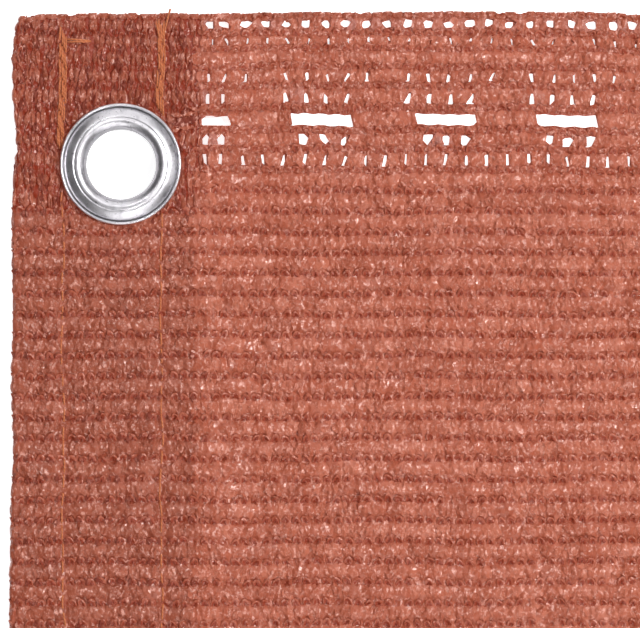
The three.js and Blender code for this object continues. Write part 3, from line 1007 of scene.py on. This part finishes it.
def slit_shade_rows(rng):
    """Dark strips laid as painted shade in the slits between the narrow tapes at the hem's top"""
    rows = []
    for _ in range(HEM_SLIT_SHADES):
        depth = rng.uniform(2.0, CHAINS[HEM_TOP_ROWS] + 2.0)
        place = (rng.uniform(1.6, HEM_WIDTH - 1.4), -depth, rng.uniform(0.6, 0.75))
        size = (rng.uniform(0.4, 0.75), rng.uniform(1.2, 2.8), 0.5)
        turn = (0, 0, rng.normal(0, 0.12))
        rows.append((place, turn, size, rng.integers(TAPE_KINDS), 0.03 * rng.random(), 0.0))
    return rows


def recess_shade_rows(rng):
    """Dark patches laid as painted shade in the recesses on most needles of the hem's lower chain lines"""
    rows = []
    for chain in CHAINS[HEM_TOP_ROWS:]:
        for bar in np.arange(0.9, HEM_WIDTH - 0.4, NEEDLE):
            if rng.random() < 0.7:
                place = (bar + rng.normal(0, 0.15), -chain + rng.normal(0.0, 0.15), rng.uniform(0.84, 0.98))
                size = (rng.uniform(0.45, 0.75), rng.uniform(0.9, 1.5), 0.3)
                turn = (0, 0, rng.normal(0, 0.25))
                rows.append((place, turn, size, rng.integers(TAPE_KINDS), 0.04 * rng.random(), 0.0))
    return rows


def edging_rows(rng):
    """The rope of tapes that lies along the top edge"""
    rows = []
    for bar in np.arange(1.5, TAPE_END - 0.8, NEEDLE):
        place = (bar + rng.normal(0, 0.12), -float(top_edge(bar)) - 0.36, rng.uniform(0.3, 0.42))
        size = (rng.uniform(1.1, 1.4), rng.uniform(2.7, 3.6), rng.uniform(0.6, 0.9))
        turn = (0, 0, math.pi / 2 + rng.normal(0, 0.06))
        rows.append((place, turn, size, rng.integers(TAPE_KINDS), 0.15 + 0.3 * rng.random(), 0.0))
    return rows


def tape_shapes(name, rng, knit):
    return [tape_shape(f"{name}_{n:02d}", rng, knit) for n in range(TAPE_KINDS)]


class SCREEN_OT_tapes(bpy.types.Operator):
    """The crumpled tapes that run up and down between the chains, their gathers and the edging"""
    bl_idname = "screen.tapes"
    bl_label = "Tapes"

    def execute(self, context):
        knit = context.scene.screen_knit
        for number, zone in enumerate(TAPE_ZONES):
            name, darker = zone["name"], zone["darker"]
            rng = np.random.default_rng(knit.seed + number)
            shapes = tape_shapes(name, rng, knit)
            table = table_of(tape_rows(rng, knit, zone), clear=number == 0)
            material = tape_material(f"{name}_tape", knit, darker)
            crumple = (0.75 if darker else 0.5, 1.1)
            piece = lay(name, table, shapes, material, crumple, float(number))
            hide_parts("side_hem" if darker else "screen_cloth")
        rng = np.random.default_rng(knit.seed + 20)
        gather_shapes = tape_shapes("gather", rng, knit)
        # Besides the gathers, this piece carries the pocket's painted shadow and strands, and the painted
        # shade of the hem's slits and recesses
        gathers = table_of(gather_rows(rng) + pocket_rows(rng) + slit_shade_rows(rng) + recess_shade_rows(rng))
        edging = table_of(edging_rows(rng))
        edging_shapes = tape_shapes("edging", rng, knit)
        material = tape_material("edging_tape", knit, 0.1)
        piece = lay("tape_edging", edging, edging_shapes, material, (0.2, 1.2), 8.0)
        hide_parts("screen_cloth", "side_hem")
        material = tape_material("gathered_tape", knit, 0.1)
        piece = lay("tape_gathers", gathers, gather_shapes, material, (0.6, 1.2), 6.0)
        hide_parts("screen_cloth", "side_hem")
        return {"FINISHED"}


# The chain loops: loose and often missing at the hem's top, even elsewhere

LOOP_KINDS = 12
LOOP_ZONES = rows_of(
    "name first last left right",
    ("loops_upper", 0, 24, -1.0, TAPE_END),
    ("loops_lower", 24, ROWS + 1, -1.0, TAPE_END),
    ("loops_turned_in", 0, ROWS + 1, HIDDEN_END, -1.0),
)
LOOSE_LOOPS, EVEN_LOOPS = rows_of(
    "missing across down high wide",
    (0.4, 0.25, 0.3, 0.26, (0.6, 1.0)),
    (0.08, 0.1, 0.07, 0.34, (0.9, 1.12)),
)
LOOPS_BELOW = 0.62


def loop_rows(rng, zone):
    """One loop on each needle of each chain line of a zone, but for the missing ones"""
    first = math.ceil((zone["left"] - FIRST_BAR) / NEEDLE)
    last = math.floor((zone["right"] - FIRST_BAR) / NEEDLE)
    rows = []
    for row in range(zone["first"], zone["last"]):
        for needle in range(first, last + 1):
            bar = FIRST_BAR + needle * NEEDLE
            style = LOOSE_LOOPS if -1 < bar < HEM_WIDTH and row < HEM_TOP_ROWS else EVEN_LOOPS
            if rng.random() < style["missing"]:
                continue
            u = bar + rng.normal(0, style["across"])
            depth = max(CHAINS[row] + rng.normal(0, style["down"]), LOOPS_BELOW)
            place = (u, -depth, style["high"] + rng.uniform(-0.05, 0.1))
            wide = rng.uniform(*style["wide"])
            size = (wide, rng.uniform(0.85, 1.1) * (0.8 if row == 0 else 1.0), 1.0)
            tone = tone_and_painted_shade(u, depth, rng.random())
            rows.append((place, (0, 0, rng.normal(0, 0.12)), size, rng.integers(LOOP_KINDS), tone, 0.0))
    return rows


class SCREEN_OT_loops(bpy.types.Operator):
    """The chains of loops that bind the tapes"""
    bl_idname = "screen.loops"
    bl_label = "Chain Loops"

    def execute(self, context):
        knit = context.scene.screen_knit
        for number, zone in enumerate(LOOP_ZONES):
            name = zone["name"]
            rng = np.random.default_rng(knit.seed + 40 + number)
            shapes = [loop_shape(f"{name}_{n:02d}", rng, knit) for n in range(LOOP_KINDS)]
            table = table_of(loop_rows(rng, zone), ceiling=1.2)
            material = tape_material(f"{name}_tape", knit, 0.04)
            piece = lay(name, table, shapes, material, (0.3, 1.3), 11.0 + number)
            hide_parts("screen_cloth", "side_hem")
        return {"FINISHED"}


# The sewing

STITCH_KINDS = 6
# Places of the thread across a seam's doubled start, how near the eyelet's axis the ring hides it, and
# how much longer than its pitch a stitch is
DOUBLED = (-0.5, 0.17, -0.17, 0.45)
HIDDEN_BY_RING = 10.6
STITCH_OVERLAP = 1.06
# The cross tack and the loose ends, off the seams
FREE_THREADS = rows_of(
    "across down long turn",
    (11.4, 4.7, 4.4, math.pi / 2 - 0.05),
    (11.3, 5.05, 4.1, math.pi / 2 + 0.03),
    (26.4, 2.1, 5.9, -0.24),
    (25.1, 3.2, 4.2, 0.2),
    (25.9, 3.0, 3.6, -0.1),
)


def stitch_rows(rng, length):
    """Stitches down both seams, then the threads off them"""
    rows = []
    for seam in SEAMS:
        for start in np.arange(seam["top"], CLOTH_LENGTH - 1.0, length):
            depth = start + length / 2
            if math.hypot(seam["line"] - EYELET_ACROSS, depth - EYELET_DOWN) < HIDDEN_BY_RING:
                continue
            doubled = start < seam["doubled"]
            for offset in DOUBLED if doubled else (0.0,):
                u = seam["line"] + offset + rng.normal(0, 0.05)
                place = (u, -(depth + offset * 2), (0.62 if doubled else 0.4) + 0.1 * rng.random())
                turn = (0, 0, rng.normal(0, 0.04))
                size = (1, length * STITCH_OVERLAP, 1)
                rows.append((place, turn, size, rng.integers(STITCH_KINDS), rng.random(), 0))
    for thread in FREE_THREADS:
        place = (thread["across"], -thread["down"], 0.72)
        size = (1, thread["long"], 1)
        rows.append((place, (0, 0, thread["turn"]), size, rng.integers(STITCH_KINDS), rng.random(), 0))
    return rows


class SCREEN_OT_sewing(bpy.types.Operator):
    """The two lines of orange sewing, their doubled starts, the cross tack and the loose ends"""
    bl_idname = "screen.sewing"
    bl_label = "Sewing"

    def execute(self, context):
        sewing = context.scene.screen_sewing
        rng = np.random.default_rng(91)
        shapes = [stitch_shape(f"stitch_{n}", rng, sewing) for n in range(STITCH_KINDS)]
        table = table_of(stitch_rows(rng, sewing.stitch / MM), ceiling=1.5, edged=False)
        material = thread_material("orange_thread", sewing)
        piece = lay("hem_sewing", table, shapes, material, (0.05, 1.0), 3.0)
        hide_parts("side_hem")
        return {"FINISHED"}


# The eyelet

# The ring's shown face from its lip to its bore: how far inside the rim, and how high over the seat
RING_FACE = [
    (0.2, -0.12), (0.02, -0.02), (0.0, 0.25), (0.1, 0.5), (0.28, 0.58), (0.46, 0.48), (0.56, 0.2),
    (0.74, 0.18), (0.95, 0.42), (1.3, 0.7), (1.7, 0.94), (2.1, 1.1), (2.32, 1.14), (2.42, 1.08),
    (2.55, 1.14), (3.0, 1.24), (3.4, 1.14), (3.8, 0.86), (4.1, 0.5), (4.3, 0.12),
]


def ring_profile():
    """Section of the ring, its barrel and the barrel's turned end, as radius and height"""
    face = [(RIM - inward, RING_SEAT + up) for inward, up in RING_FACE]
    return [
        (BORE, TURNED_END), (BORE + 0.05, 0.25), (BORE + 0.2, 0.08), (BORE + 0.5, 0), (BORE + 1.6, 0),
        (BORE + 1.85, 0.08), (BORE + 2.0, 0.25), (BORE + 1.95, TURNED_END), (BORE + 0.6, TURNED_END),
        (BORE + 0.6, RING_SEAT), *rounded([*face, (BORE, RING_SEAT - 0.4)]),
    ]


def washer_profile():
    """Section of the dished washer, as radius and height"""
    return [
        (BORE + 0.9, TURNED_END + 0.3), (BORE + 2.4, TURNED_END + 0.3), (BORE + 2.7, 0.3),
        (BORE + 2.95, 0.04), (BORE + 3.1, 0), (RIM - 0.3, 0), (RIM - 0.08, 0.06), (RIM, 0.22),
        (RIM - 0.1, 0.42), (RIM - 0.6, 0.75), (BORE + 2.9, WASHER_TOP), (BORE + 0.9, WASHER_TOP),
    ]


def rounded(points):
    """A line of points with its corners cut once"""
    points = np.array(points)
    near, far = points[:-1] * 0.75 + points[1:] * 0.25, points[:-1] * 0.25 + points[1:] * 0.75
    inner = np.stack([near, far], axis=1).reshape(-1, 2)[1:-1]
    return [tuple(point) for point in np.vstack([points[:1], inner, points[-1:]])]


def turned(profile, steps):
    """Points in the frame and faces of a closed section turned about the eyelet's axis"""
    angles = np.linspace(0, 2 * math.pi, steps, endpoint=False)
    radius, height = np.array(profile).T
    x = RING_MIDDLE[0] + radius[:, None] * np.cos(angles)
    y = RING_MIDDLE[1] + radius[:, None] * np.sin(angles)
    z = np.repeat(height[:, None], steps, axis=1)
    points = np.stack([x, y, z], axis=-1).reshape(-1, 3) * MM
    faces = []
    for corner in range(len(profile)):
        near, far = corner * steps, (corner + 1) % len(profile) * steps
        for step in range(steps):
            beside = (step + 1) % steps
            faces.append([near + step, far + step, far + beside, near + beside])
    return points, faces


class SCREEN_OT_eyelet(bpy.types.Operator):
    """The eyelet's ring with its barrel and turned end, and the dished washer below"""
    bl_idname = "screen.eyelet"
    bl_label = "Eyelet"

    def execute(self, context):
        eyelet = context.scene.screen_eyelet
        material = metal_material("plated_steel", eyelet)
        parts = {
            "eyelet_ring": ("eyelet_front", ring_profile()),
            "eyelet_washer": ("eyelet_back", washer_profile()),
        }
        for name, (node, profile) in parts.items():
            points, faces = turned(profile, eyelet.steps)
            mesh = bpy.data.meshes.new(name)
            mesh.from_pydata(points.tolist(), [], faces)
            mesh.materials.append(material)
            piece = finished(name, mesh)
            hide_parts(node)
        return {"FINISHED"}


# The stage, in metres

FLOOR_REACH = 3.0
SOFT_BOXES = rows_of(
    "name place size power",
    ("upper_box", (0.0, 0.72, 0.42), 0.9, 2.3),
    ("lower_box", (0.05, -0.8, 0.42), 0.8, 2.9),
    ("right_box", (0.85, 0.0, 0.4), 0.5, 0.7),
    ("overhead", (0.0, 0.0, 1.15), 0.8, 0.5),
    ("key", (0.27, 0.12, 0.6), 0.06, 3.0),
    ("glint_0", (-0.2, 0.28, 0.6), 0.03, 0.4),
    ("glint_1", (0.05, -0.34, 0.58), 0.03, 0.5),
)
# The view: millimetres a pixel of the 640 by 628 frame, and where its middle lies on the cloth
PIXEL = 0.171
FRAME_WIDE = 640
FRAME_MIDDLE = (52.7, -51.3)
LENS = 250.0
SENSOR = 36.0


def add_floor(scene):
    """A pale floor that gives back a little light of its own"""
    material, tree, shader = new_material("pale_floor")
    connect(tree, shader, {
        "Base Color": (0.8, 0.8, 0.805, 1),
        "Roughness": 0.9,
        "Emission Color": WHITE,
        "Emission Strength": 0.8,
    })
    mesh = bpy.data.meshes.new("floor")
    corners = [(x * FLOOR_REACH, y * FLOOR_REACH, 0) for x, y in ((-1, -1), (1, -1), (1, 1), (-1, 1))]
    mesh.from_pydata(corners, [], [(0, 1, 2, 3)])
    mesh.materials.append(material)
    floor = bpy.data.objects.new("floor", mesh)
    scene.collection.objects.link(floor)


def add_light(scene, name, place, size, power):
    """A square soft box that looks at the middle of the part"""
    light = bpy.data.lights.new(name, "AREA")
    light.size = size
    light.energy = power
    holder = bpy.data.objects.new(name, light)
    holder.location = place
    holder.rotation_mode = "QUATERNION"
    holder.rotation_quaternion = holder.location.to_track_quat("Z", "Y")
    scene.collection.objects.link(holder)


def add_camera(scene):
    camera = bpy.data.cameras.new("camera")
    camera.lens = LENS
    camera.sensor_width = SENSOR
    camera.clip_start, camera.clip_end = 0.01, 20.0
    holder = bpy.data.objects.new("camera", camera)
    away = FRAME_WIDE * PIXEL * LENS / SENSOR
    holder.location = np.array([FRAME_MIDDLE[0] + SHIFT[0], FRAME_MIDDLE[1] + SHIFT[1], away]) * MM
    scene.collection.objects.link(holder)
    scene.camera = holder


class SCREEN_OT_stage(bpy.types.Operator):
    """Pale floor, soft studio light and the camera straight above the corner"""
    bl_idname = "screen.stage"
    bl_label = "Stage"

    def execute(self, context):
        scene = context.scene
        scene.view_settings.view_transform = "Standard"
        world = bpy.data.worlds.new("studio")
        scene.world = world
        world.use_nodes = True
        sky = world.node_tree.nodes["Background"]
        connect(world.node_tree, sky, {"Color": WHITE, "Strength": 0.08})
        add_floor(scene)
        for box in SOFT_BOXES:
            add_light(scene, **box)
        add_camera(scene)
        return {"FINISHED"}


class SCREEN_PT_panel(bpy.types.Panel):
    """Lists the steps that make the screen corner"""
    bl_idname = "SCREEN_PT_panel"
    bl_label = "Screen Corner"
    bl_space_type = "VIEW_3D"
    bl_region_type = "UI"
    bl_category = "Screen"

    def draw(self, context):
        for step in STEPS:
            self.layout.operator(step.bl_idname)
        for group in GROUPS:
            settings = getattr(context.scene, group)
            for name in settings.__annotations__:
                self.layout.prop(settings, name)


STEPS = (
    SCREEN_OT_stage, SCREEN_OT_sheet, SCREEN_OT_tapes, SCREEN_OT_loops, SCREEN_OT_sewing, SCREEN_OT_eyelet,
)
GROUPS = {"screen_knit": ScreenKnit, "screen_sewing": ScreenSewing, "screen_eyelet": ScreenEyelet}


def register():
    for made in (*GROUPS.values(), *STEPS, SCREEN_PT_panel):
        bpy.utils.register_class(made)
    for name, group in GROUPS.items():
        setattr(bpy.types.Scene, name, PointerProperty(type=group))


def unregister():
    for name in GROUPS:
        delattr(bpy.types.Scene, name)
    for made in reversed((*GROUPS.values(), *STEPS, SCREEN_PT_panel)):
        bpy.utils.unregister_class(made)


def main():
    register()
    for step in STEPS:
        group, name = step.bl_idname.split(".")
        getattr(getattr(bpy.ops, group), name)()


if __name__ == "__main__":
    main()
